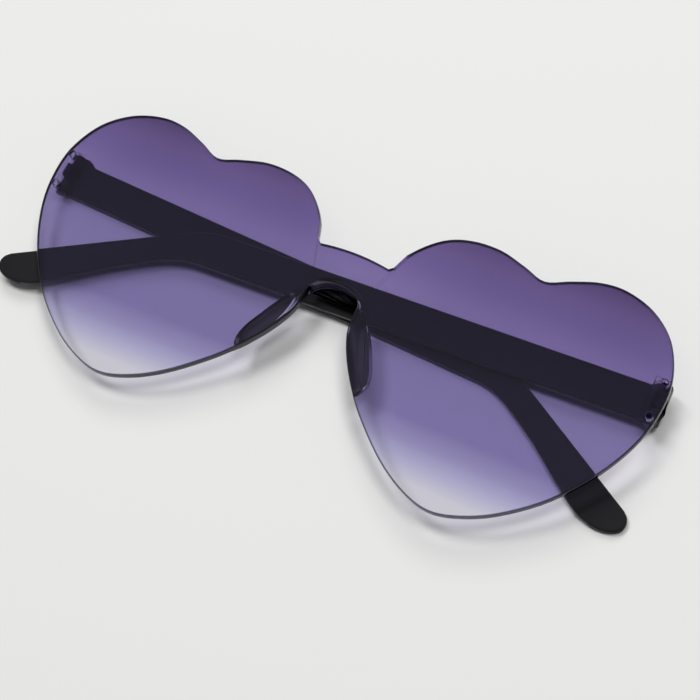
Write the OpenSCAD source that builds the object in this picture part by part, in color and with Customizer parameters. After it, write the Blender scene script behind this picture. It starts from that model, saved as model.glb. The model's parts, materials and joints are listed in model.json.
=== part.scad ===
// Heart shaped sunglasses with one thin clear-edged front and two folding temples.
// Lying folded: the lenses face up, the heart tips point to -Y, and the outer face of
// the lower temple lies flat on the surface at z = 0. X runs across the lenses.

/* [Front] */
// Half the width of the front, middle of the bridge to the outer edge of a heart
half_width = 74.7; // [66:0.1:82]
// Height of a heart, tip to top of the outer lobe
heart_height = 60.2; // [54:0.1:66]
// Depth of the heart tips below the top of the bridge
tip_drop = 45.8; // [43:0.1:48]
// Thickness of the lens sheet
lens_t = 1.9; // [1.5:0.1:2.4]
// Distance of the fold beside the bridge from the middle
crease_x = 9.4; // [8.8:0.1:10.4]
// Lean of the fold line from upright
crease_lean = 19.3; // [16:0.1:22]
// Angle by which each lens folds back from the bridge
fold = 1.66; // [1:0.02:2]

/* [Bridge and nose] */
// Rise of the bridge's top edge in its middle
bridge_rise = 0.3; // [0:0.1:1]
// Dip of the bridge's top edge at its ends
bridge_dip = 0.4; // [0:0.1:1]
// Width of the notch between the bridge's top edge and a heart
notch_w = 1; // [0.6:0.1:1.8]
// Depth of the arch over the nose below the top of the bridge
arch_top = 7.8; // [6.5:0.1:9]
// Height of the arch's shoulders
arch_h = 3.2; // [2.4:0.1:4]
// Thickness of the saddle along the arch
saddle_t = 1.7; // [1.2:0.1:2.4]
// Reach of the saddle behind the lens sheet
saddle_depth = 2.2; // [1.2:0.1:3]
// Reach of the nose pads behind the lens sheet
pad_depth = 2.8; // [1.6:0.1:3.4]
// Thickness of a pad's crest
pad_crest_t = 0.4; // [0.3:0.1:0.8]
// How far a pad's crest leans away from the nose
pad_lean = 1.1; // [0:0.1:1.6]

/* [Hinges] */
// Distance of each hinge pin from the hearts' outer edge
pin_inset = 2.1; // [1.9:0.05:2.4]
// Depth of the hinge pins behind the bridge's front face
pin_depth = 6.6; // [6.3:0.05:7.2]
// Depth of the hinges' middle below the top of the hearts
pin_drop = 18.9; // [18.6:0.1:19.3]
// Lean of the hinge pins from the bridge's front face
pin_lean = 2.5; // [1.5:0.1:3.5]
// Radius of the hinge screws' shafts
screw_r = 0.6; // [0.4:0.05:0.65]
// Running clearance around the screws' shafts
screw_gap = 0.05; // [0.03:0.01:0.08]
// Radius of the hinge knuckles
knuckle_r = 1.1; // [1.05:0.05:1.2]
// Height of each of a hinge's three knuckles
knuckle_h = 3; // [2.4:0.1:3.1]
// Gap between neighbouring knuckles
knuckle_gap = 0.12; // [0.08:0.02:0.2]
// Radius of the screw heads
head_r = 1.05; // [0.9:0.05:1.1]
// Height of the screw heads
head_h = 0.8; // [0.6:0.1:1]
// Width of the screw heads' slots
slot_w = 0.35; // [0.25:0.05:0.45]
// Depth of the screw heads' slots
slot_h = 0.35; // [0.2:0.05:0.45]
// Thickness of the hinge plates
plate_t = 1; // [0.8:0.1:1.2]
// Distance of the hinge plates' outer edge from the hearts' outer edge
plate_inset = 0.8; // [0.8:0.05:1]
// Width of the hinge plates
plate_w = 3.4; // [2.9:0.1:4.4]
// Depth of the hinge plates' top edge below the top of the hearts
plate_drop = 14.5; // [14.4:0.1:14.7]
// Height of the hinge plates
plate_h = 10.4; // [10.2:0.1:11]
// Distance of the rivets from the hearts' outer edge
rivet_inset = 1.8; // [1.7:0.05:2.1]
// Depth of the upper rivets below the top of the hearts
rivet_drop = 15.7; // [15.7:0.05:16]
// Distance between the upper and the lower rivet
rivet_pitch = 7.8; // [7:0.1:8]
// Radius of the rivets
rivet_r = 0.85; // [0.6:0.05:0.9]
// Clearance around the rivets
rivet_gap = 0.03; // [0.02:0.01:0.05]
// How far the rivets stand proud of the lens
rivet_proud = 0.12; // [0.05:0.01:0.3]
// How far the rivets reach into the hinge plates
rivet_seat = 0.7; // [0.4:0.05:0.75]

/* [Temples] */
// Thickness of a temple
temple_t = 1.9; // [1.6:0.1:1.9]
// Height of a temple's straight bar
temple_h = 8.5; // [8:0.1:9.2]
// Length of the bar, pin to the bend of its top edge
bar_length = 108; // [104:0.5:112]
// Further length of the bar's bottom edge before its bend
neck_shift = 3.5; // [2:0.1:5]
// Length of the tail along its top edge, bend to tip
tail_length = 48.5; // [42:0.5:50]
// Angle by which the tail turns down from the bar
tail_angle = 27; // [24:0.5:30]
// Greatest height of the tail, a little before its tip
tip_h = 8.2; // [7.4:0.1:9]
// Slope of the bar towards the ear
bar_drop = 2.5; // [2:0.1:2.8]
// How far the front end stands out beyond the pin
butt = 1.1; // [1:0.1:1.8]
// Distance of the bar's inner face from the pin
offset_y = 1.35; // [1.35:0.05:1.5]
// Rise of the front end above the bar's top edge
shoulder_h = 1; // [0.4:0.1:1.4]
// Length of the raised front end
shoulder_l = 2.6; // [2:0.1:4]
// Length of the slope from the raised end to the bar
shoulder_run = 2; // [1:0.1:4]
// Radius of the corners of the front end
butt_r = 0.9; // [0.3:0.1:1]
// Gap between the two folded temples where they cross
cross_gap = 0.3; // [0.25:0.01:0.32]

/* [Hidden] */

$fn = 48;
// Points between two chosen points of an outline
curve_steps = 5;
// Points on a quarter of a round outline
arc_steps = 10;
// Overrun of cuts
over = 1;
// How far joined shapes reach into each other
bite = 0.1;

// A heart's outline, from the bridge over the lobes and the tip to the nose, as shares
// of half_width across and of heart_height up from the tip
heart_shares = [
  [0.125, 0.765], [0.155, 0.85], [0.22, 0.93], [0.295, 0.967], [0.385, 0.973],
  [0.47, 0.948], [0.54, 0.924], [0.61, 0.96], [0.69, 0.995], [0.77, 1],
  [0.862, 0.965], [0.94, 0.888], [0.988, 0.775], [1, 0.66], [0.983, 0.52],
  [0.926, 0.36], [0.834, 0.205], [0.726, 0.09], [0.63, 0.026], [0.541, 0],
  [0.452, 0.027], [0.352, 0.096], [0.246, 0.206], [0.182, 0.292], [0.126, 0.388],
  [0.09, 0.478], [0.081, 0.55]
];
// Where the arch over the nose meets the heart, as a share of half_width
arch_share = 0.0805;
// A pad's outline on the lens, in the same shares as the heart's
pad_shares = [
  [0.082, 0.578], [0.084, 0.53], [0.101, 0.452], [0.127, 0.388], [0.156, 0.335],
  [0.186, 0.287], [0.2, 0.28], [0.209, 0.298], [0.211, 0.33], [0.2, 0.38],
  [0.178, 0.43], [0.154, 0.49], [0.118, 0.555], [0.095, 0.582]
];
// Middle of a pad, in the same shares
pad_mid_share = [0.149, 0.425];
// Size of a pad's crest against its foot
crest_share = 0.7;
// A tail's outline from its top edge round the tip to its neck, as shares of
// tail_length along the top edge and of tip_h across
tip_shares = [
  [0.94, 0], [0.973, -0.06], [0.993, -0.19], [1, -0.36], [0.99, -0.53],
  [0.965, -0.7], [0.93, -0.84], [0.885, -0.945], [0.83, -1], [0.76, -0.99],
  [0.66, -0.935], [0.55, -0.85], [0.45, -0.785], [0.34, -0.745]
];

// Height of the tips' level in the front's own frame, where the bridge's top is zero
tip_z = -tip_drop;
top_z = tip_z + heart_height;
pin_x = half_width - pin_inset;
pin_z = top_z - pin_drop;
plate_x = half_width - plate_inset;
rivet_x = half_width - rivet_inset;
arch_half = half_width * arch_share;
bridge_half = half_width * heart_shares[0][0] - notch_w;
// Outer face of a temple from its pin
temple_y = offset_y + temple_t;
// Splay that lets the folded temples pass each other where their bars still overlap
splay = atan((temple_t + cross_gap) / (2 * pin_x));
// Stack of the three knuckles
stack_h = 3 * knuckle_h + 2 * knuckle_gap;
// Reach of the plate's knuckle from the pin into the hinge plate
leg = pin_depth - lens_t - plate_t / 2 - lens_depth([pin_x, pin_z]);

function spline(a, b, c, d, t) =
  b + t / 2 * ((c - a) + t * ((2 * a - 5 * b + 4 * c - d) + t * (3 * b - a - 3 * c + d)));
// Depth of a lens's front face behind the bridge's, at a point of the outline's plane
function lens_depth(p) =
  tan(fold) * max(0, (p[0] - crease_x) * cos(crease_lean) - p[1] * sin(crease_lean));
// Smooth run through points, with straight continuation at both ends
function run(pts) = let (n = len(pts)) concat(
  [for (i = [0:n - 2], k = [0:curve_steps - 1])
    spline(i > 0 ? pts[i - 1] : 2 * pts[0] - pts[1], pts[i], pts[i + 1],
           i < n - 2 ? pts[i + 2] : 2 * pts[n - 1] - pts[n - 2], k / curve_steps)],
  [pts[n - 1]]);
// Smooth closed loop through points
function loop(pts) = let (n = len(pts))
  [for (i = [0:n - 1], k = [0:curve_steps - 1])
    spline(pts[(i + n - 1) % n], pts[i], pts[(i + 1) % n], pts[(i + 2) % n],
           k / curve_steps)];
function placed(shares) =
  [for (s = shares) [half_width * s[0], tip_z + heart_height * s[1]]];
// Quarter round from its foot to its top, half wide and high
function arch(half, high, top) =
  [for (i = [0:arc_steps]) let (a = 90 - 90 * i / arc_steps)
    [half * sin(a), top - high * (1 - cos(a))]];
function reversed(pts) = [for (i = [len(pts) - 1:-1:0]) pts[i]];
function turned_x(p, a) =
  [p[0], p[1] * cos(a) - p[2] * sin(a), p[1] * sin(a) + p[2] * cos(a)];
function turned_z(p, a) =
  [p[0] * cos(a) - p[1] * sin(a), p[0] * sin(a) + p[1] * cos(a), p[2]];
function xs(pts) = [for (p = pts) p[0]];
function ys(pts) = [for (p = pts) p[1]];

heart = run(placed(heart_shares));
bridge_top = [for (i = [0:arc_steps]) let (s = i / arc_steps)
  [bridge_half * s, bridge_rise - (bridge_rise + bridge_dip) * s * s]];
half_front = concat(bridge_top, heart, arch(arch_half, arch_h, -arch_top));

// Corners of a temple's outline: pin at the origin, bar along +x, height along +y
tail_dir = [cos(tail_angle), -sin(tail_angle)];
tail_up = [sin(tail_angle), cos(tail_angle)];
bend_top = [bar_length, temple_h / 2];
bend_low = [bar_length + neck_shift, -temple_h / 2];
tip = run([for (s = tip_shares)
  bend_top + tail_length * s[0] * tail_dir + tip_h * s[1] * tail_up]);
// Part of the bend's length that is rounded to each side
bend_share = 0.1;
bend_l = bend_share * tail_length;
bar_dir = [1, 0];
front_top = temple_h / 2 + shoulder_h;
temple_outline = concat(
  [for (i = [0:arc_steps]) let (a = 180 - 90 * i / arc_steps)
    [butt_r - butt + butt_r * cos(a), front_top - butt_r + butt_r * sin(a)]],
  [for (i = [0:arc_steps]) let (t = i / arc_steps)
    [shoulder_l - butt + t * shoulder_run, front_top - shoulder_h * t * t * (3 - 2 * t)]],
  [for (i = [0:arc_steps]) let (t = i / arc_steps)
    bend_top - (1 - t) * (1 - t) * bend_l * bar_dir + t * t * bend_l * tail_dir],
  tip,
  [for (i = [0:arc_steps]) let (t = i / arc_steps, far = tip[len(tip) - 1],
                                back = (bend_low - far) / norm(bend_low - far))
    bend_low - (1 - t) * (1 - t) * bend_l * back - t * t * bend_l * bar_dir],
  [for (i = [0:arc_steps]) let (a = 270 - 90 * i / arc_steps)
    [butt_r - butt + butt_r * cos(a), butt_r - temple_h / 2 + butt_r * sin(a)]]);

// Where a point of the front's own frame lies when the glasses are laid down
function laid(p) = let (q = turned_z(turned_x(p, pin_lean), -splay)) [q[0], q[2], -q[1]];
// A point of a temple's inner face in the front's own frame, side -1 left or 1 right
function on_temple(p, side) = let (
    dropped = [p[0] * cos(bar_drop) + p[1] * sin(bar_drop), offset_y,
               p[1] * cos(bar_drop) - p[0] * sin(bar_drop)],
    swung = turned_z(dropped, -side * splay),
    lean = turned_x(swung, -pin_lean))
  [side * (pin_x - lean[0]), pin_depth + lean[1], pin_z + lean[2]];
// A point of a lens's front face
function on_lens(p, side) = [side * p[0], lens_depth(p), p[1]];

outline_laid = concat(
  [for (p = temple_outline) laid(on_temple(p, -1))],
  [for (p = temple_outline) laid(on_temple(p, 1))],
  [for (p = half_front) laid(on_lens(p, -1))],
  [for (p = half_front) laid(on_lens(p, 1))],
  [for (p = half_front) laid(on_lens(p, 1) + [0, lens_t, 0])]);
middle = [(max(xs(outline_laid)) + min(xs(outline_laid))) / 2,
          (max(ys(outline_laid)) + min(ys(outline_laid))) / 2];
// Height of the glasses' own origin over the surface, from the lower temple's outer face
lift = temple_y - laid([-pin_x, pin_depth, pin_z])[2];

// Lays the glasses down from their own frame: X across, Y to the wearer, Z to the brow
module lie() {
  translate([-middle[0], -middle[1], lift])
    rotate([-90, 0, 0]) rotate([0, 0, -splay]) rotate([pin_lean, 0, 0])
      children();
}

// Sheet of an outline in X and Z, its front face at y = 0
module sheet(outline, thick) {
  translate([0, thick, 0]) rotate([90, 0, 0]) linear_extrude(thick) polygon(outline);
}

// Folds back what is drawn flat beside the right fold line
module fold_back() {
  translate([crease_x, 0, 0]) rotate([0, crease_lean, 0]) rotate([0, 0, fold])
    rotate([0, -crease_lean, 0]) translate([-crease_x, 0, 0])
      children();
}

// Space outside the right fold line, or inside it
module beside_fold(outside) {
  reach = 2 * half_width;
  translate([crease_x, -reach / 2, 0]) rotate([0, crease_lean, 0])
    translate([outside ? 0 : -reach, 0, -reach / 2]) cube(reach);
}

// The right half of the lens sheet, with its pad and its share of the saddle
module front_half() {
  rear = lens_t - bite;
  difference() {
    union() {
      intersection() {
        sheet(half_front, lens_t);
        beside_fold(false);
      }
      fold_back() intersection() {
        sheet(half_front, lens_t);
        beside_fold(true);
      }
    }
    fold_back() rivet_holes(-over, lens_t + 2 * over);
  }
  // saddle
  translate([0, rear, 0])
    sheet(concat(arch(arch_half + saddle_t / 2, arch_h + saddle_t, saddle_t - arch_top),
                 reversed(arch(arch_half, arch_h, -arch_top))),
          saddle_depth + bite);
  // pad
  pad = loop(placed(pad_shares));
  mid = placed([pad_mid_share])[0];
  crest = [for (p = pad) mid + [pad_lean, 0] + crest_share * (p - mid)];
  fold_back() hull() {
    translate([0, rear, 0]) sheet(pad, 2 * bite);
    translate([0, rear + bite + pad_depth - pad_crest_t, 0]) sheet(crest, pad_crest_t);
  }
}

// Two holes or posts through the lens at a hinge, drawn flat
module rivet_posts(radius, start, length) {
  for (drop = [rivet_drop, rivet_drop + rivet_pitch])
    translate([rivet_x, start, top_z - drop]) rotate([-90, 0, 0])
      cylinder(r = radius, h = length);
}

module rivet_holes(start, length) {
  rivet_posts(rivet_r + rivet_gap, start, length);
}

module at_hinge() {
  translate([pin_x, pin_depth, pin_z]) rotate([-pin_lean, 0, 0]) children();
}

module screw_hole() {
  cylinder(r = screw_r + screw_gap, h = stack_h + 2 * over, center = true);
}

// One knuckle with a leg, from the given height
module knuckle(low, reach) {
  translate([0, 0, low]) {
    cylinder(r = knuckle_r, h = knuckle_h);
    translate([-knuckle_r, min(0, reach), 0]) cube([2 * knuckle_r, abs(reach), knuckle_h]);
  }
}

module hinge_plate() {
  difference() {
    union() {
      fold_back()
        translate([plate_x - plate_w, lens_t, top_z - plate_drop - plate_h])
          cube([plate_w, plate_t, plate_h]);
      at_hinge() knuckle(-knuckle_h / 2, -leg);
    }
    at_hinge() screw_hole();
    fold_back() rivet_holes(lens_t - over, over + rivet_seat + rivet_gap);
  }
}

module hinge_rivets() {
  fold_back() rivet_posts(rivet_r, -rivet_proud, rivet_proud + lens_t + rivet_seat);
}

module hinge_screw() {
  at_hinge() {
    translate([0, 0, -stack_h / 2 - knuckle_gap]) {
      cylinder(r = screw_r, h = stack_h + knuckle_gap);
      difference() {
        translate([0, 0, -head_h]) cylinder(r = head_r, h = head_h);
        translate([-head_r - over, -slot_w / 2, -head_h - over])
          cube([2 * (head_r + over), slot_w, slot_h + over]);
      }
    }
  }
}

// A temple on the right hinge, swung towards the lens by the given angle
module temple(swing) {
  at_hinge() rotate([0, 0, swing]) mirror([1, 0, 0])
    difference() {
      union() {
        translate([0, offset_y, 0]) rotate([0, bar_drop, 0])
          sheet(temple_outline, temple_t);
        knuckle(-stack_h / 2, offset_y + bite);
        knuckle(stack_h / 2 - knuckle_h, offset_y + bite);
      }
      screw_hole();
    }
}

module left() {
  mirror([1, 0, 0]) children();
}

module lens_front() {
  color([0.45, 0.38, 0.6, 0.6]) lie() {
    front_half();
    left() front_half();
  }
}

module hinge_plate_left() {
  color([0.3, 0.28, 0.34]) lie() left() hinge_plate();
}

module hinge_plate_right() {
  color([0.3, 0.28, 0.34]) lie() hinge_plate();
}

module hinge_rivets_left() {
  color([0.6, 0.55, 0.75, 0.6]) lie() left() hinge_rivets();
}

module hinge_rivets_right() {
  color([0.6, 0.55, 0.75, 0.6]) lie() hinge_rivets();
}

module hinge_screw_left() {
  color([0.7, 0.7, 0.72]) lie() left() hinge_screw();
}

module hinge_screw_right() {
  color([0.7, 0.7, 0.72]) lie() hinge_screw();
}

module temple_left() {
  color([0.1, 0.1, 0.11]) lie() left() temple(-splay);
}

module temple_right() {
  color([0.1, 0.1, 0.11]) lie() temple(splay);
}

lens_front();
hinge_plate_left();
hinge_plate_right();
hinge_rivets_left();
hinge_rivets_right();
hinge_screw_left();
hinge_screw_right();
temple_left();
temple_right();
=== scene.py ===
"""Heart shaped sunglasses with one tinted lens front, lying folded with the lenses up."""
import json
import math
from collections import namedtuple

import bmesh
import bpy
from mathutils import Euler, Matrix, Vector
from mathutils.geometry import intersect_point_line

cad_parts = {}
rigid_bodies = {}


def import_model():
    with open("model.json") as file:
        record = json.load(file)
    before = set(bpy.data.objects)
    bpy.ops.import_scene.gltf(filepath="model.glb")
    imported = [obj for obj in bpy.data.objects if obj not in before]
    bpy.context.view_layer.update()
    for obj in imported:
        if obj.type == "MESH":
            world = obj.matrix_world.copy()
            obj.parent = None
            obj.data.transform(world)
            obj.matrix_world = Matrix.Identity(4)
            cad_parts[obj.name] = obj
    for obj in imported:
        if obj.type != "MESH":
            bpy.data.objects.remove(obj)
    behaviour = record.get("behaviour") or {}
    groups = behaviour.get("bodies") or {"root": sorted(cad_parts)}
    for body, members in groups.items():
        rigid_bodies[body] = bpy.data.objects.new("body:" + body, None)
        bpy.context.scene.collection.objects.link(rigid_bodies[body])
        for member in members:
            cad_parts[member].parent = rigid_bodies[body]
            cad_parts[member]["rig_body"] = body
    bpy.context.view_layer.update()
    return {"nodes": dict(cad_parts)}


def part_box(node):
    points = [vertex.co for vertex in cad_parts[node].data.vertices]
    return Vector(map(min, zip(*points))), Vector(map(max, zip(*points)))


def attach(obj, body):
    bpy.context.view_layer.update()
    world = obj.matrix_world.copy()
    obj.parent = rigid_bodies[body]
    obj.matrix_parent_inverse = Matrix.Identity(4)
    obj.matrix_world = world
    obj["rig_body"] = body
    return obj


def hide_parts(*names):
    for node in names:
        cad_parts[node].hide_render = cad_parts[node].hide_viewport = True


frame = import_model()

MM = 0.001
SIDES = ("left", "right")

# Camera in the row frame: place, turn in degrees, focal length and sensor
CAMERA_AT = Vector((178.8, -167.1, 456.9)) * MM
CAMERA_TURN = (26.186, 9.412, 27.869)
FOCAL_MM = 123.43
SENSOR_MM = 36.0
CLIP_START = 0.01
CLIP_END = 20.0

# Lamps: direction from the middle of the object, diameter in metres, and watts
LAMPS = (
    (Vector((-0.36, 0.10, 1.0)), 0.42, 6.3),
    (Vector((0.32, 0.10, 1.0)), 0.42, 6.3),
    (Vector((-0.25, 0.70, 0.90)), 0.75, 6.0),
)
LAMP_DISTANCE = 1.35

# World: its even level, that of the backdrop, and what gloss mirrors from the side and from
# above, with the heights of the mirrored direction between which the one turns to the other.
# A ray sees the backdrop as long as its diffuse bounces are fewer than the last number.
WORLD_LEVEL = 0.21
BACKDROP_LEVEL = 0.80
MIRRORED_ASIDE = 0.55
MIRRORED_ABOVE = 0.25
MIRRORED_HEIGHTS = (0.15, 0.75)
BEFORE_DIFFUSE_BOUNCE = 0.5

FLOOR_SIZE = 6.0
FLOOR_COLOUR = (0.80, 0.80, 0.79)
FLOOR_ROUGHNESS = 0.6

# Tint of the lens: share of the way from the tips to the brow, and the light that is
# left there once it has gone down through the sheet and up again
TINT_STOPS = (
    (0.00, (0.84, 0.83, 0.91)),
    (0.06, (0.70, 0.69, 0.82)),
    (0.13, (0.51, 0.49, 0.72)),
    (0.20, (0.35, 0.315, 0.575)),
    (0.28, (0.24, 0.20, 0.45)),
    (0.60, (0.24, 0.20, 0.445)),
    (0.72, (0.23, 0.17, 0.425)),
    (0.82, (0.17, 0.122, 0.345)),
    (0.90, (0.15, 0.102, 0.29)),
    (1.00, (0.09, 0.055, 0.175)),
)
# Light that one of the sheet's faces passes on into the shadow
SHADOW_STOPS = (
    (0.00, (0.84, 0.83, 0.88)),
    (0.25, (0.85, 0.84, 0.90)),
    (0.50, (0.94, 0.93, 0.96)),
    (1.00, (0.975, 0.97, 0.985)),
)
MOST_PASSED = 0.99
# Light that the sheet's rim passes, and the shares of the way from the tips to the brow at
# which its shadow has faded out and at which it is whole
RIM_PASS = 0.25
RIM_SHADOW_GONE = 0.58
RIM_SHADOW_WHOLE = 0.42

# The sheet's edges, by how level a face lies, from 0 on the wall to 1 on the sheet: painted
# shade of the wall and of the rolled edges, for the dark lines that refraction draws along the
# edge, and the levels between which the sheet's tint takes over
WALL_PAINTED_SHADE = (0.085, 0.07, 0.13)
ROLL_PAINTED_SHADE = (0.02, 0.016, 0.035)
WALL_LEVEL = 0.06
ROLL_LEVEL = 0.20
SHEET_LEVELS = (0.85, 0.975)

# Clear plastic of the bores and the flanges, the edges of both and of the pins, and the
# flanges' dark outer walls
CLEAR = (0.98, 0.98, 0.985)
BORE_EDGE = (0.96, 0.95, 0.97)
FLANGE_EDGE = (0.95, 0.94, 0.97)
PIN_EDGE = (0.97, 0.96, 0.98)
SKIRT_COLOUR = (0.010, 0.009, 0.012)
SKIRT_ROUGHNESS = 0.16

# Dark and light shade of each opaque material, and the noise values that give them
SHADES = {
    "black_plastic": ((0.01275, 0.01275, 0.01425), (0.018, 0.018, 0.0195)),
    "knuckle_plastic": ((0.00765, 0.00765, 0.00855), (0.0108, 0.0108, 0.0117)),
    "dark_steel": ((0.10, 0.10, 0.105), (0.17, 0.17, 0.18)),
    "pin_ring": ((0.028, 0.020, 0.060), (0.042, 0.030, 0.085)),
    "plum_plastic": ((0.026, 0.025, 0.031), (0.048, 0.042, 0.060)),
    # The next three are lighter copies of the plum: painted light on the sides of the pads and
    # the saddle that face the light, and a painted highlight on the pads' rounded edges
    "plum_painted_lit_side": ((0.16, 0.14, 0.21), (0.24, 0.21, 0.30)),
    "saddle_painted_lit_side": ((0.055, 0.042, 0.10), (0.075, 0.058, 0.13)),
    "plum_painted_highlight": ((0.80, 0.74, 0.88), (0.92, 0.86, 0.97)),
}
DARK_AT = 0.3
LIGHT_AT = 0.7
PLUM_TRANSMISSION = 0.15

PLASTIC_IOR = 1.49
CLEAR_IOR = 1.03
BLACK_IOR = 1.26
KNUCKLE_IOR = 1.12

# Surfaces seen close up. A noise is its scale and its detail: cloud varies the colour, grain
# the roughness in its range, and relief the height, with its strength and its depth.
Finish = namedtuple("Finish", "cloud grain roughness relief strength depth",
                    defaults=(None, None, None))
POLISHED = Finish((22.0, 1.0), (900.0, 2.0), (0.02, 0.05), (40.0, 1.0), 0.05, 0.5 * MM)
MOULDED = Finish((120.0, 2.0), (700.0, 2.0), (0.12, 0.24), (300.0, 2.0), 0.03, 0.3 * MM)
GLOSSY = Finish((35.0, 3.0), (60.0, 2.0), (0.10, 0.18), (1400.0, 3.0), 0.04, 0.2 * MM)
BRUSHED = Finish((800.0, 2.0), (1500.0, 2.0), (0.24, 0.40))
TINT_CLOUD = (0.96, 1.04)

# Numbers of the sockets of a Mix node that mixes colours
MIX_SHARE, MIX_FIRST, MIX_SECOND, MIX_RESULT = 0, 6, 7, 2

# Lens front and hinges: thickness of the sheet and of a hinge plate, the way to the back,
# how far the pads and the saddle reach aside, and where the temples' knuckles begin
SHEET_T = 1.9 * MM
PLATE_T = 1.0 * MM
REARWARD = Vector((0.01514, 0.04362, -0.99893))
PAD_REACH = 18.0 * MM
SADDLE_REACH = 7.0 * MM
KNUCKLE_X = 69.5 * MM

# Radius of a pin, how near to its middle the wall of its hole lies, and half the width in
# which the bridge's top is found
PIN_RADIUS = 0.85 * MM
NEAR_HOLE = 1.8 * MM
BRIDGE_MIDDLE = 2.0 * MM

# Fold lines beside the bridge, painted into the sheet's colour as thin lines of shade: place
# at the top of the bridge, how far below its upper edge that is, lean, half widths of the
# line's core and of its blur, and the share of the colour that the painted line keeps
CREASE_X = 9.4 * MM
CREASE_DROP = 0.3 * MM
CREASE_LEAN = math.radians(19.3)
CREASE_WIDTHS = (0.04 * MM, 0.18 * MM)
CREASE_SHADE_PASS = 0.72

# Roll of the sheet's outline and the rim around it, both measured inwards, and how much of
# the room before another border the roll takes
ROLL = 0.5 * MM
ROLL_STEPS = 5
ROLL_HEM = 0.1 * MM
RIM_WIDE = 1.2 * MM
RIM_FADE = 0.4 * MM
ROOM_SHARE = 0.7
ROOM_SLACK = 0.01 * MM

# Rounded edges: their profile, radii and numbers of segments, the knuckles' share of the
# temples' radius, and the width of the ring around a pin's end
ROUND_PROFILE = 0.5
SEGMENTS = 3
PAD_ROUND = 0.45 * MM
PAD_SEGMENTS = 4
TEMPLE_ROUND = 0.62 * MM
TEMPLE_SEGMENTS = 5
KNUCKLE_SHARE = 0.13
PLATE_ROUND = 0.12 * MM
PIN_ROUND = 0.05 * MM
SCREW_ROUND = 0.08 * MM
PIN_RIM = 0.20 * MM

# Turn from which an edge is sharp, on the small pieces and on the front and the temples
SMALL_SHARP = math.radians(30.0)
LARGE_SHARP = math.radians(35.0)

# What counts as one point, one flat face and one plane
SAME_POINT = 1e-7
SAME_RING_POINT = 1e-6
FLAT_TURN = math.radians(0.3)
PLANE_TURN = math.radians(0.5)

# How far a normal points one way, from 0 to 1, where a face is level with a lens, belongs
# to the sheet, looks to the front, stands upright, looks out to the side, or faces the light
# enough to get a painted highlight where it is a rounded edge, and painted light where it is a
# side, of the pads and the saddle
LEVEL_DOT = 0.99995
SHEET_DOT = 0.99
FRONT_DOT = 0.9
UPRIGHT_DOT = 0.5
OUTWARD_DOT = 0.5
LIT_EDGE_DOT = 0.3
LIT_SIDE_DOT = 0.45

# Least areas of the sheet's and of the temples' large faces, and depths: behind the sheet
# where the pads and the saddle begin, behind a flange where its knuckle begins, and behind
# the sheet where the edges of the pads and the saddle are rounded
SHEET_AREA = 50 * MM * MM
BAR_AREA = 60 * MM * MM
PAD_STEP = 0.03 * MM
KNUCKLE_STEP = 0.05 * MM
PAD_CLEAR = 0.4 * MM

# Material slots of the lens front, the hinge plates, the pins and the temples
ON_SHEET, ON_PAD, ON_BORE, ON_PAD_HIGHLIGHT, ON_PAD_LIT_SIDE, ON_SADDLE_LIT_SIDE = range(6)
ON_FLANGE, ON_PLATE_KNUCKLE, ON_SKIRT = range(3)
ON_PIN, ON_RING = range(2)
ON_BAR, ON_KNUCKLE = range(2)


def rgba(colour):
    return (*colour, 1.0)


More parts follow.
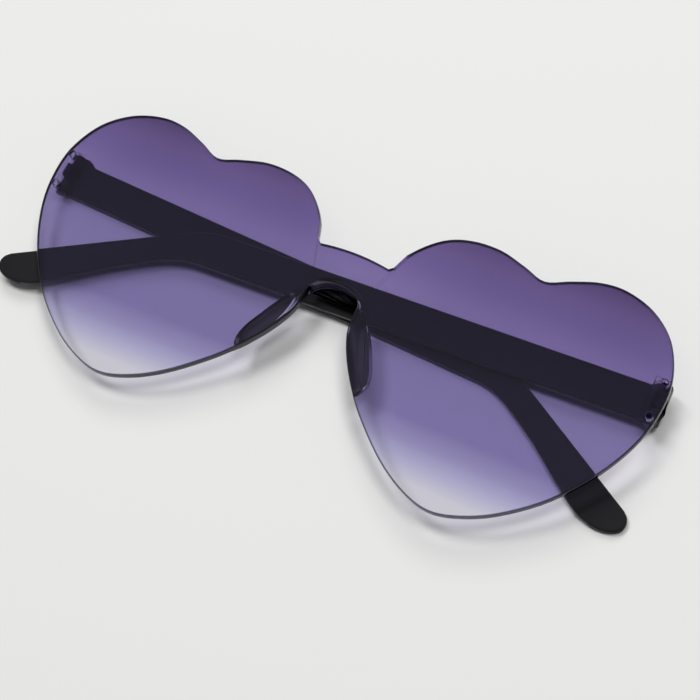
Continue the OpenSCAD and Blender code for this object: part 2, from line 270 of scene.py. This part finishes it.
class Nodes:
    """Builds the node tree of a material or of the world, one node after another.

    An input is given a value, or the output that it is linked to.
    """

    def __init__(self, owner):
        owner.use_nodes = True
        self.owner = owner
        self.tree = owner.node_tree
        self.tree.nodes.clear()

    def add(self, kind, settings=None, **inputs):
        node = self.tree.nodes.new(kind)
        for key, value in (settings or {}).items():
            setattr(node, key, value)
        for key, value in inputs.items():
            self.put(node, key.replace("_", " "), value)
        return node

    def put(self, node, key, value):
        if isinstance(value, bpy.types.NodeSocket):
            self.tree.links.new(value, node.inputs[key])
        else:
            node.inputs[key].default_value = value

    def math(self, operation, *values):
        node = self.add("ShaderNodeMath", {"operation": operation})
        for i, value in enumerate(values):
            self.put(node, i, value)
        return node.outputs[0]

    def coordinate(self, kind, axis):
        """One axis of the object's own place or normal, or of the world's direction."""
        vector = self.add("ShaderNodeTexCoord").outputs[kind]
        return self.add("ShaderNodeSeparateXYZ", Vector=vector).outputs[axis]

    def noise(self, scale, detail):
        place = self.add("ShaderNodeTexCoord").outputs["Object"]
        return self.add("ShaderNodeTexNoise", Vector=place, Scale=scale,
                        Detail=detail).outputs["Fac"]

    def map_range(self, value, from_low, from_high, to_low=0.0, to_high=1.0):
        return self.add("ShaderNodeMapRange", Value=value, From_Min=from_low,
                        From_Max=from_high, To_Min=to_low, To_Max=to_high).outputs["Result"]

    def spread(self, value, low, high):
        """Value from 0 to 1 brought to between low and high."""
        return self.map_range(value, 0.0, 1.0, low, high)

    def grey(self, level):
        return self.add("ShaderNodeCombineColor", Red=level, Green=level,
                        Blue=level).outputs[0]

    def ramp(self, value, stops):
        node = self.add("ShaderNodeValToRGB", Fac=value)
        elements = node.color_ramp.elements
        while len(elements) < len(stops):
            elements.new(0.5)
        for element, (at, colour) in zip(elements, stops):
            element.position = at
            element.color = rgba(colour)
        return node.outputs["Color"]

    def mix(self, share, first, second, blend="MIX"):
        node = self.add("ShaderNodeMix", {"data_type": "RGBA", "blend_type": blend})
        self.put(node, MIX_SHARE, share)
        self.put(node, MIX_FIRST, first)
        self.put(node, MIX_SECOND, second)
        return node.outputs[MIX_RESULT]

    def times(self, first, second):
        """Product of two colours."""
        return self.mix(1.0, first, second, "MULTIPLY")

    def principled(self, **inputs):
        return self.add("ShaderNodeBsdfPrincipled", **inputs).outputs[0]

    def surface(self, finish, colour, **others):
        """Shader of a colour, with the roughness and the relief of a finish."""
        if finish.relief:
            bump = self.add("ShaderNodeBump", Height=self.noise(*finish.relief),
                            Strength=finish.strength, Distance=finish.depth)
            others["Normal"] = bump.outputs["Normal"]
        roughness = self.spread(self.noise(*finish.grain), *finish.roughness)
        return self.principled(Base_Color=colour, Roughness=roughness, **others)

    def either(self, share, first, second):
        """First shader where the share is 0, and second where it is 1."""
        node = self.add("ShaderNodeMixShader", Fac=share)
        self.put(node, 1, first)
        self.put(node, 2, second)
        return node.outputs[0]

    def finish(self, surface, output="ShaderNodeOutputMaterial"):
        self.add(output, Surface=surface)
        return self.owner


def between(stops, share):
    """Colour at a share of the way along the stops."""
    for (a, first), (b, second) in zip(stops, stops[1:]):
        if share <= b:
            t = (share - a) / (b - a)
            return [f + (g - f) * t for f, g in zip(first, second)]
    return stops[-1][1]


def seen_stops():
    """What the sheet itself passes: the whole tint without its share in the shadow."""
    return [(at, [min(MOST_PASSED, whole / cast ** 2)
                  for whole, cast in zip(colour, between(SHADOW_STOPS, at))])
            for at, colour in TINT_STOPS]


def share_of_height(nodes):
    """0 at the heart tips and 1 at the brow."""
    low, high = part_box("lens_front")
    return nodes.map_range(nodes.coordinate("Object", "Y"), low.y, high.y)


def levelness(nodes):
    """1 on faces that lie with the sheet and 0 on its wall and on the walls of holes."""
    return nodes.math("ABSOLUTE", nodes.coordinate("Normal", "Z"))


def crease_shade_line(nodes, top_y):
    """Painted shade along the two fold lines beside the bridge: 1 away from them, and less on
    them.
    """
    aside = nodes.math("ABSOLUTE", nodes.coordinate("Object", "X"))
    across = nodes.math("SUBTRACT", aside, CREASE_X)
    along = nodes.math("SUBTRACT", nodes.coordinate("Object", "Y"), top_y)
    off = nodes.math("SUBTRACT",
                     nodes.math("MULTIPLY", across, math.cos(CREASE_LEAN)),
                     nodes.math("MULTIPLY", along, math.sin(CREASE_LEAN)))
    return nodes.map_range(nodes.math("ABSOLUTE", off), *CREASE_WIDTHS, CREASE_SHADE_PASS)


def clear_plastic(name, face=None, edge=None, ior=PLASTIC_IOR, crease_shade_top=None, skirt=False):
    """See-through plastic, whose rim casts a shadow.

    face and edge are the colours where it lies with the sheet and where it turns away, or
    None for the sheet's tint and for the painted shade on its wall and rolls, which stands for
    the dark lines that refraction draws there. Where a crease top is given, painted lines of
    shade run along the fold lines from that height. A skirt is dark from outside, and clear
    for what is seen through the piece.
    """
    nodes = Nodes(bpy.data.materials.new(name))
    share = share_of_height(nodes)
    level = levelness(nodes)
    face = rgba(face) if face else nodes.ramp(share, seen_stops())
    if edge:
        edge = rgba(edge)
    else:
        # Painted shade on the wall and the rolls, for the dark lines that refraction draws
        # along the sheet's edge
        edge_shade_stops = ((WALL_LEVEL, WALL_PAINTED_SHADE), (ROLL_LEVEL, ROLL_PAINTED_SHADE))
        edge = nodes.times(face, nodes.ramp(level, edge_shade_stops))
    colour = nodes.mix(nodes.map_range(level, *SHEET_LEVELS), edge, face)
    cloud = nodes.spread(nodes.noise(*POLISHED.cloud), *TINT_CLOUD)
    colour = nodes.times(colour, nodes.grey(cloud))
    # Painted shade along the fold lines beside the bridge
    if crease_shade_top is not None:
        colour = nodes.times(colour, nodes.grey(crease_shade_line(nodes, crease_shade_top)))
    body = nodes.surface(POLISHED, colour, IOR=ior, Transmission_Weight=1.0)

    rim = nodes.add("ShaderNodeAttribute", {"attribute_name": "rim"}).outputs["Fac"]
    rim = nodes.math("MULTIPLY", rim,
                     nodes.map_range(share, RIM_SHADOW_GONE, RIM_SHADOW_WHOLE))
    passed = nodes.times(nodes.ramp(share, SHADOW_STOPS),
                         nodes.grey(nodes.spread(rim, 1.0, RIM_PASS)))
    let_through = nodes.add("ShaderNodeBsdfTransparent", Color=passed).outputs[0]
    shadow_ray = nodes.add("ShaderNodeLightPath").outputs["Is Shadow Ray"]
    surface = nodes.either(shadow_ray, body, let_through)
    if skirt:
        dark = nodes.principled(Base_Color=rgba(SKIRT_COLOUR), Roughness=SKIRT_ROUGHNESS,
                                IOR=KNUCKLE_IOR)
        inside = nodes.add("ShaderNodeNewGeometry").outputs["Backfacing"]
        surface = nodes.either(inside, dark, surface)
    return nodes.finish(surface)


def opaque(name, finish, **others):
    """Material whose colour drifts between its dark and its light shade."""
    nodes = Nodes(bpy.data.materials.new(name))
    dark, light = SHADES[name]
    colour = nodes.ramp(nodes.noise(*finish.cloud), ((DARK_AT, dark), (LIGHT_AT, light)))
    return nodes.finish(nodes.surface(finish, colour, **others))


def plum_plastic(name):
    """The pads, the saddle and the pins' rings, where the tinted plastic is thick, and the
    painted highlight and painted light on the pads' and the saddle's edges and sides.
    """
    return opaque(name, MOULDED, IOR=PLASTIC_IOR, Transmission_Weight=PLUM_TRANSMISSION)


def cleaned(node):
    """A CAD node's shape as a bmesh, with its flat faces whole."""
    work = bmesh.new()
    work.from_mesh(frame["nodes"][node].data)
    bmesh.ops.remove_doubles(work, verts=work.verts, dist=SAME_POINT)
    bmesh.ops.dissolve_limit(work, angle_limit=FLAT_TURN, verts=work.verts,
                             edges=work.edges, use_dissolve_boundaries=False)
    bmesh.ops.recalc_face_normals(work, faces=work.faces)
    return work


def sheet_planes(node):
    """Where the front face of each lens and of the bridge lies, with the bridge's top.

    A plane is its rearward direction and the measure along it, by side -1, 0 and 1.
    """
    planes = {}
    work = cleaned(node)
    for face in work.faces:
        if face.normal.dot(REARWARD) > -SHEET_DOT or face.calc_area() < SHEET_AREA:
            continue
        middle = face.calc_center_median()
        side = 0 if abs(middle.x) < CREASE_X else (1 if middle.x > 0 else -1)
        rear = -face.normal
        measure = rear.dot(face.verts[0].co)
        if side not in planes or measure < planes[side][1]:
            planes[side] = (rear.copy(), measure)
    tops = [v.co.y for v in work.verts if abs(v.co.x) < BRIDGE_MIDDLE]
    work.free()
    return planes, max(tops)


def pin_places():
    """The middle of each pin, seen from the front."""
    places = []
    for side in SIDES:
        low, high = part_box("hinge_rivets_" + side)
        middle_x = (low.x + high.x) / 2
        places += [Vector((middle_x, y)) for y in (low.y + PIN_RADIUS, high.y - PIN_RADIUS)]
    return places


def behind_sheet(point, side):
    """How far a point lies behind the front face of the lens on that side."""
    rear, measure = PLANES[side]
    return rear.dot(point) - measure


def behind_all(point):
    """The same for whichever of the sheet's planes lies nearest in front of the point."""
    return min(behind_sheet(point, side) for side in PLANES)


def on_pad(face):
    """True for the faces of the pads and the saddle."""
    middle = face.calc_center_median()
    return abs(middle.x) <= PAD_REACH and behind_all(middle) > SHEET_T + PAD_STEP


def in_bore(face):
    """True for the wall of a pin's hole."""
    middle = face.calc_center_median()
    return abs(face.normal.z) < UPRIGHT_DOT and any(
        (at - middle.xy).length < NEAR_HOLE and (at - middle.xy).dot(face.normal.xy) > 0
        for at in PINS)


def pad_edge(edge):
    """True for the edges of the pads and the saddle that stand clear of the sheet."""
    return min(behind_all(v.co) for v in edge.verts) > SHEET_T + PAD_CLEAR


def bar_edge(edge):
    """True for the edges of a temple's large faces."""
    return any(f.calc_area() > BAR_AREA for f in edge.link_faces)


def in_order(items):
    """The items once each in the order they come, so that each run gives one mesh."""
    return dict.fromkeys(items)


def roll_rings():
    """Rings from the sheet's wall inwards: inward, below the face, and share of the rim."""
    rings = []
    for i in range(ROLL_STEPS + 1):
        turn = math.pi / 2 * i / ROLL_STEPS
        rings.append((ROLL * (1 - math.cos(turn)), ROLL * (1 - math.sin(turn)), 1.0))
    return rings + [(ROLL + ROLL_HEM, 0.0, 1.0), (RIM_WIDE, 0.0, 1.0),
                    (RIM_WIDE + RIM_FADE, 0.0, 0.0)]


def outline_links(flat):
    """The outline around the flat faces: at each of its vertices the directions into the
    sheet and the faces' normals, then its edges, and then the other borders."""
    links, edges, others = {}, [], []
    for face in flat:
        for loop in face.loops:
            edge, a, b = loop.edge, loop.vert, loop.link_loop_next.vert
            wall = loop.link_loop_radial_next.face
            if wall in flat and face.normal.angle(wall.normal) < PLANE_TURN:
                continue
            if wall in flat or in_bore(wall) or not edge.is_convex:
                others.append((a.co.copy(), b.co.copy()))
                continue
            inward = face.normal.cross(b.co - a.co).normalized()
            for vert in (a, b):
                links.setdefault(vert, []).append((inward, face.normal.copy()))
            edges.append((a, b))
    return links, edges, others


def room_at(point, others):
    """How far the rings may go in from a point before they near another border."""
    nearest = math.inf
    for a, b in others:
        near, share = intersect_point_line(point, a, b)
        near = a if share < 0 else (b if share > 1 else near)
        nearest = min(nearest, (near - point).length)
    return max(0.0, ROOM_SHARE * nearest - ROOM_SLACK)


def ring_spots(vert, near, others):
    """Places and rim shares of the rings at an outline vertex, or None where none fit."""
    miter = sum((inward for inward, _ in near), Vector()) / len(near)
    miter /= miter.length_squared
    up = sum((normal for _, normal in near), Vector()).normalized()
    room = room_at(vert.co, others) if len(near) == 2 else 0.0
    if room <= ROOM_SLACK:
        return None
    share = min(1.0, room / ROLL)
    return [(vert.co + miter * min(inward * share, room) - up * below * share, value)
            for inward, below, value in roll_rings()]


def roll_outline(work, up):
    """Rounds the sheet's outline on the side that up points to, and marks its rim."""
    rim = work.verts.layers.float.get("rim") or work.verts.layers.float.new("rim")
    flat = in_order(f for f in work.faces if f.normal.z * up > FRONT_DOT and not on_pad(f))
    links, edges, others = outline_links(flat)
    spots_at = {vert: ring_spots(vert, near, others) for vert, near in links.items()}
    columns = {}
    for vert, spots in spots_at.items():
        vert[rim] = 1.0
        if spots is None:
            columns[vert] = [vert] * len(roll_rings())
            continue
        column = [vert]
        for spot, value in spots[1:]:
            column.append(work.verts.new(spot))
            column[-1][rim] = value
        vert.co = spots[0][0]
        columns[vert] = column
    for a, b in edges:
        for k in range(len(columns[a]) - 1):
            ring = [columns[a][k], columns[b][k], columns[b][k + 1], columns[a][k + 1]]
            ring = [v for i, v in enumerate(ring) if v is not ring[i - 1]]
            if len(ring) > 2:
                work.faces.new(ring)
    refill(work, flat, {v: column[-1] for v, column in columns.items()})
    bmesh.ops.remove_doubles(work, verts=work.verts, dist=SAME_RING_POINT)
    work.normal_update()


def by_plane(flat):
    """The flat faces in groups that share a plane, each with its normal."""
    planes = []
    for face in flat:
        for normal, faces in planes:
            if normal.angle(face.normal) < PLANE_TURN:
                faces.append(face)
                break
        else:
            planes.append((face.normal.copy(), [face]))
    return planes


def refill(work, flat, moved):
    """Fills the flat faces anew, plane by plane, inside their moved borders."""
    borders, spent = [], []
    for normal, faces in by_plane(flat):
        border = []
        for edge in in_order(e for f in faces for e in f.edges):
            if sum(f in faces for f in edge.link_faces) == 2:
                spent.append(edge)
                continue
            ends = [moved.get(v, v) for v in edge.verts]
            if sum(f in flat for f in edge.link_faces) == 2 and ends != list(edge.verts):
                spent.append(edge)
            border.append(ends)
        borders.append((normal, border))
    bmesh.ops.delete(work, geom=list(flat), context="FACES_ONLY")
    for edge in in_order(spent):
        work.edges.remove(edge)
    for normal, border in borders:
        loop = [work.edges.get(ends) or work.edges.new(ends) for ends in border
                if ends[0] is not ends[1]]
        made = bmesh.ops.triangle_fill(work, edges=loop, normal=normal, use_beauty=True)
        work.normal_update()
        for face in made["geom"]:
            if isinstance(face, bmesh.types.BMFace) and face.normal.dot(normal) < 0:
                face.normal_flip()


def prepare_lens(work):
    """Rolls the sheet's outline, rounds the pads, tells the kinds of faces apart, and gives
    the pad faces that face the light a painted highlight or painted light.
    """
    for face in work.faces:
        if in_bore(face):
            face.material_index = ON_BORE
        else:
            face.material_index = ON_PAD if on_pad(face) else ON_SHEET
    roll_outline(work, 1)
    roll_outline(work, -1)
    edges = [e for e in work.edges if len(e.link_faces) == 2 and pad_edge(e)
             and e.calc_face_angle(0) > LARGE_SHARP]
    bmesh.ops.bevel(work, geom=edges, offset=PAD_ROUND, segments=PAD_SEGMENTS,
                    profile=ROUND_PROFILE, affect="EDGES", clamp_overlap=False,
                    loop_slide=False, material=ON_PAD_HIGHLIGHT)
    # Painted highlight on the rounded edges that face the light and painted light on the sides
    # that face it; the rest keeps the dark plum
    for face in work.faces:
        aside = abs(face.calc_center_median().x) > SADDLE_REACH
        lit = face.normal.x if aside else -face.normal.y
        if face.material_index == ON_PAD_HIGHLIGHT and lit < LIT_EDGE_DOT:
            face.material_index = ON_PAD
        elif face.material_index == ON_PAD and lit > LIT_SIDE_DOT:
            face.material_index = ON_PAD_LIT_SIDE if aside else ON_SADDLE_LIT_SIDE


def prepare_pins(work):
    """Gives the front end of each pin a rim of its own, down to the sheet's face."""
    side = 1 if next(iter(work.verts)).co.x > 0 else -1
    rear, measure = PLANES[side]
    geom = list(work.verts) + list(work.edges) + list(work.faces)
    bmesh.ops.bisect_plane(work, geom=geom, plane_co=rear * measure, plane_no=rear)
    ends = [f for f in work.faces if f.normal.z > FRONT_DOT]
    bmesh.ops.inset_individual(work, faces=ends, thickness=PIN_RIM)
    for face in work.faces:
        middle = face.calc_center_median()
        on_rim = min((middle.xy - at).length for at in PINS) > PIN_RIM
        proud = behind_sheet(middle, side) < 0
        face.material_index = ON_RING if on_rim and proud else ON_PIN


def prepare_plate(work):
    """Tells the knuckle and the flange's outer walls from the clear flange."""
    for face in work.faces:
        middle = face.calc_center_median()
        side = 1 if middle.x > 0 else -1
        if behind_sheet(middle, side) > SHEET_T + PLATE_T + KNUCKLE_STEP:
            face.material_index = ON_PLATE_KNUCKLE
        else:
            outer = face.normal.x * side > OUTWARD_DOT
            face.material_index = ON_SKIRT if outer else ON_FLANGE


def prepare_temple(work):
    """Tells the knuckles' faces from those of the long bar."""
    for face in work.faces:
        at_hinge = abs(face.calc_center_median().x) > KNUCKLE_X
        small = face.calc_area() < BAR_AREA
        face.material_index = ON_KNUCKLE if at_hinge and small else ON_BAR


def along_temple(edge):
    """1 for the edges of a temple's outline and a little for those of its knuckles."""
    if bar_edge(edge):
        return 1.0
    return 0.0 if any(bar_edge(e) for v in edge.verts for e in v.link_edges) else KNUCKLE_SHARE


def placed(name, data):
    """A new object of the scene with that data."""
    thing = bpy.data.objects.new(name, data)
    bpy.context.scene.collection.objects.link(thing)
    return thing


def rounded(node, name, materials, radius=0.0, weigh=None, prepare=None,
            segments=SEGMENTS, sharp=SMALL_SHARP):
    """A piece with a CAD node's shape and rounded edges.

    radius rounds the sharp edges, or those that weigh picks; prepare works on the mesh
    first.
    """
    work = cleaned(node)
    if prepare:
        prepare(work)
    if weigh:
        weight = work.edges.layers.float.new("bevel_weight_edge")
        for edge in work.edges:
            if len(edge.link_faces) == 2 and edge.calc_face_angle(0) > sharp:
                edge[weight] = weigh(edge)
    mesh = bpy.data.meshes.new(name)
    work.to_mesh(mesh)
    work.free()
    piece = placed(name, mesh)
    for material in materials:
        mesh.materials.append(material)
    if radius:
        bevel = piece.modifiers.new("Rounded edges", "BEVEL")
        bevel.segments = segments
        bevel.width = radius
        bevel.harden_normals = True
        bevel.limit_method = "WEIGHT" if weigh else "ANGLE"
        bevel.angle_limit = sharp
        bevel.use_clamp_overlap = not weigh
        bevel.loop_slide = False
    mesh.set_sharp_from_angle(angle=sharp)
    for face in mesh.polygons:
        level = any(abs(face.normal.dot(rear)) > LEVEL_DOT for rear, _ in PLANES.values())
        face.use_smooth = not level
    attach(piece, frame["nodes"][node]["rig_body"])
    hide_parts(node)


def light(name, towards, size, watts):
    lamp = bpy.data.lights.new(name, "AREA")
    lamp.shape = "DISK"
    lamp.size = size
    lamp.energy = watts
    thing = placed(name, lamp)
    thing.location = towards.normalized() * LAMP_DISTANCE
    thing.rotation_euler = towards.to_track_quat("Z", "Y").to_euler()
    thing.visible_glossy = False
    thing.visible_transmission = False


def world():
    """Even light, one level for what gloss mirrors, and a pale backdrop behind the object."""
    nodes = Nodes(bpy.data.worlds.new("studio"))
    rays = nodes.add("ShaderNodeLightPath").outputs
    behind = nodes.math("MAXIMUM", rays["Is Camera Ray"], rays["Is Transmission Ray"])
    seen = nodes.math("MULTIPLY", behind,
                      nodes.math("LESS_THAN", rays["Diffuse Depth"], BEFORE_DIFFUSE_BOUNCE))
    mirrored = nodes.map_range(nodes.coordinate("Generated", "Z"), *MIRRORED_HEIGHTS,
                               MIRRORED_ASIDE - WORLD_LEVEL, MIRRORED_ABOVE - WORLD_LEVEL)
    level = nodes.math("ADD", WORLD_LEVEL,
                       nodes.math("MULTIPLY", rays["Is Glossy Ray"], mirrored))
    level = nodes.math("ADD", level,
                       nodes.math("MULTIPLY", seen, BACKDROP_LEVEL - WORLD_LEVEL))
    back = nodes.add("ShaderNodeBackground", Strength=level).outputs[0]
    bpy.context.scene.world = nodes.finish(back, "ShaderNodeOutputWorld")


def floor():
    mesh = bpy.data.meshes.new("floor")
    half = FLOOR_SIZE / 2
    corners = [(-half, -half, 0), (half, -half, 0), (half, half, 0), (-half, half, 0)]
    mesh.from_pydata(corners, [], [(0, 1, 2, 3)])
    nodes = Nodes(bpy.data.materials.new("pale_floor"))
    surface = nodes.principled(Base_Color=rgba(FLOOR_COLOUR), Roughness=FLOOR_ROUGHNESS)
    mesh.materials.append(nodes.finish(surface))
    thing = placed("floor", mesh)


def camera():
    data = bpy.data.cameras.new("camera")
    data.lens = FOCAL_MM
    data.sensor_width = SENSOR_MM
    data.clip_start = CLIP_START
    data.clip_end = CLIP_END
    thing = placed("camera", data)
    thing.location = CAMERA_AT
    thing.rotation_euler = Euler([math.radians(a) for a in CAMERA_TURN], "XYZ")
    bpy.context.scene.camera = thing


PLANES, BRIDGE_TOP = sheet_planes("lens_front")
PINS = pin_places()

# Materials of each piece in the order of its slots
FRONT_LOOKS = (
    clear_plastic("tinted_lens", crease_shade_top=BRIDGE_TOP - CREASE_DROP),
    plum_plastic("plum_plastic"),
    clear_plastic("clear_bore", CLEAR, BORE_EDGE, CLEAR_IOR),
    plum_plastic("plum_painted_highlight"),
    plum_plastic("plum_painted_lit_side"),
    plum_plastic("saddle_painted_lit_side"),
)
KNUCKLE = opaque("knuckle_plastic", GLOSSY, IOR=KNUCKLE_IOR)
TEMPLE_LOOKS = (opaque("black_plastic", GLOSSY, IOR=BLACK_IOR), KNUCKLE)
PLATE_LOOKS = (
    clear_plastic("clear_flange", CLEAR, FLANGE_EDGE, CLEAR_IOR),
    KNUCKLE,
    clear_plastic("flange_wall", CLEAR, FLANGE_EDGE, CLEAR_IOR, skirt=True),
)
PIN_LOOKS = (clear_plastic("clear_pin", None, PIN_EDGE, CLEAR_IOR), plum_plastic("pin_ring"))
SCREW_LOOKS = (opaque("dark_steel", BRUSHED, Metallic=1.0),)

rounded("lens_front", "lens", FRONT_LOOKS, prepare=prepare_lens, sharp=LARGE_SHARP)
for side in SIDES:
    rounded("temple_" + side, "temple_arm_" + side, TEMPLE_LOOKS, TEMPLE_ROUND,
            along_temple, prepare_temple, TEMPLE_SEGMENTS, LARGE_SHARP)
    rounded("hinge_plate_" + side, "plate_" + side, PLATE_LOOKS, PLATE_ROUND,
            prepare=prepare_plate)
    rounded("hinge_rivets_" + side, "rivets_" + side, PIN_LOOKS, PIN_ROUND,
            prepare=prepare_pins)
    rounded("hinge_screw_" + side, "screw_" + side, SCREW_LOOKS, SCREW_ROUND)

floor()
for i, (towards, size, watts) in enumerate(LAMPS):
    light("lamp_%d" % i, towards, size, watts)
world()
camera()
bpy.context.scene.view_settings.view_transform = "Standard"
